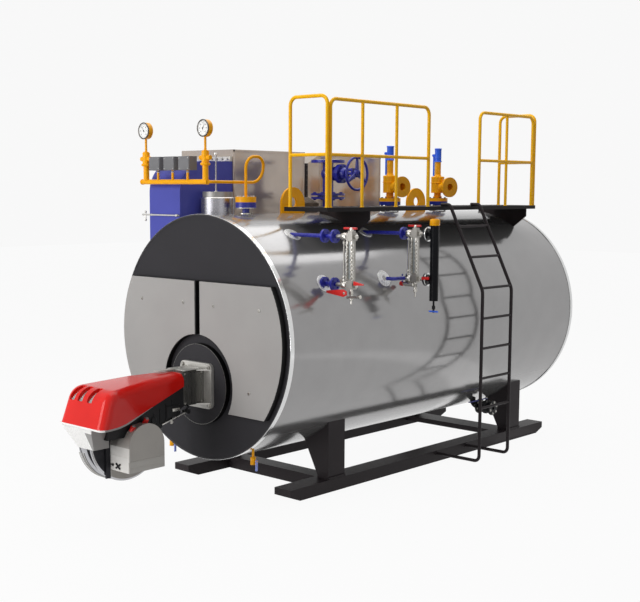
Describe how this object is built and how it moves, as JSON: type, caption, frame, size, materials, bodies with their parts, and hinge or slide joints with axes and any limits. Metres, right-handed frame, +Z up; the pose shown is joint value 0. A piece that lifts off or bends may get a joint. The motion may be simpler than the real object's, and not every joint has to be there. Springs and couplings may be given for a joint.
{
  "type": "industrial steam boiler",
  "caption": "Packaged fire-tube steam boiler on a skid, with a front burner, flue-gas boxes on one flank, and a railed service platform with ladder, valves and gauges.",
  "frame": {"origin": "middle of the front cross beam's underside, on the ground below the shell's axis", "axes": "+Y along the shell from the burner to the rear, +Z up, +X towards the platform side"},
  "size_m": [2.679, 5.93, 3.5755],
  "materials": {
    "polished_steel": "polished",
    "bright_trim": "polished",
    "dark_face": "satin",
    "panel_grey": "satin",
    "flange_grey": "satin",
    "neck_grey": "satin",
    "red_cover": "gloss",
    "white_base": "satin",
    "black_casting": "satin",
    "motor_grey": "satin",
    "black_steel": "satin",
    "rail_yellow": "gloss",
    "fitting_yellow": "gloss",
    "duct_blue": "satin",
    "valve_blue": "gloss",
    "lever_blue": "gloss",
    "switch_grey": "matte",
    "rod_steel": "brushed"
  },
  "bodies": {
    "boiler": {"shell": "polished_steel", "front_plate": "dark_face", "rear_plate": "dark_face", "trim_rings": "bright_trim", "cover_panel_left": "panel_grey", "cover_panel_right": "panel_grey", "burner_plate": "dark_face", "burner_flange": "flange_grey", "burner_neck": "neck_grey", "burner_hood": "red_cover", "burner_base": "white_base", "burner_body": "black_casting", "fan_housing": "black_casting", "fan_rings": "bright_trim", "burner_motor": "motor_grey", "skid_beam_left": "black_steel", "skid_beam_right": "black_steel", "cross_beam_front": "black_steel", "cross_beam_rear": "black_steel", "front_saddles": "black_steel", "rear_saddles": "black_steel", "platform": "black_steel", "platform_gussets": "black_steel", "rail_front": "rail_yellow", "rail_side_front": "rail_yellow", "rail_side_rear": "rail_yellow", "rail_rear": "rail_yellow", "ladder": "black_steel", "economiser": "polished_steel", "condenser": "polished_steel", "joint_flange": "black_steel", "tapered_duct": "polished_steel", "flue_elbow": "duct_blue", "damper_rod": "rod_steel", "box_supports": "black_steel", "top_stub": "polished_steel", "siphon_nozzle": "valve_blue", "siphon_header": "fitting_yellow", "pressure_switches": "switch_grey", "lifting_lugs": "rail_yellow", "steam_valve": "valve_blue", "level_gauge_front": "valve_blue", "level_gauge_rear": "valve_blue", "water_column": "black_casting", "blowdown_valve": "valve_blue", "drain_cocks": "fitting_yellow", "pressure_gauge_left": "fitting_yellow", "pressure_gauge_right": "fitting_yellow", "safety_valve_front": "fitting_yellow", "safety_valve_rear": "fitting_yellow"},
    "steam_handwheel": {"steam_handwheel": "valve_blue"},
    "safety_lever_front": {"safety_lever_front": "lever_blue"},
    "safety_lever_rear": {"safety_lever_rear": "lever_blue"},
    "blowdown_lever": {"blowdown_lever": "lever_blue"},
    "drain_lever_left": {"drain_lever_left": "lever_blue"},
    "drain_lever_right": {"drain_lever_right": "lever_blue"}
  },
  "joints": [
    {"name": "handwheel_turn", "type": "hinge", "parent": "boiler", "child": "steam_handwheel", "pos_m": [0.373, 0.708, 2.9], "axis": [1, 0, 0], "range_deg": [0, 1440]},
    {"name": "front_lever_lift", "type": "hinge", "parent": "boiler", "child": "safety_lever_front", "pos_m": [-0.056, 1.679, 3.125], "axis": [0, 1, 0], "range_deg": [0, 25]},
    {"name": "rear_lever_lift", "type": "hinge", "parent": "boiler", "child": "safety_lever_rear", "pos_m": [-0.056, 2.513, 3.125], "axis": [0, 1, 0], "range_deg": [0, 25]},
    {"name": "blowdown_turn", "type": "hinge", "parent": "boiler", "child": "blowdown_lever", "pos_m": [0.733, 2.463, 0.52285], "axis": [0, 0, 1], "range_deg": [0, 90]},
    {"name": "left_drain_turn", "type": "hinge", "parent": "boiler", "child": "drain_lever_left", "pos_m": [-0.5, -0.857, 0.38788], "axis": [1, 0, 0], "range_deg": [0, 90]},
    {"name": "right_drain_turn", "type": "hinge", "parent": "boiler", "child": "drain_lever_right", "pos_m": [0.586, -0.857, 0.38788], "axis": [1, 0, 0], "range_deg": [0, 90]}
  ]
}
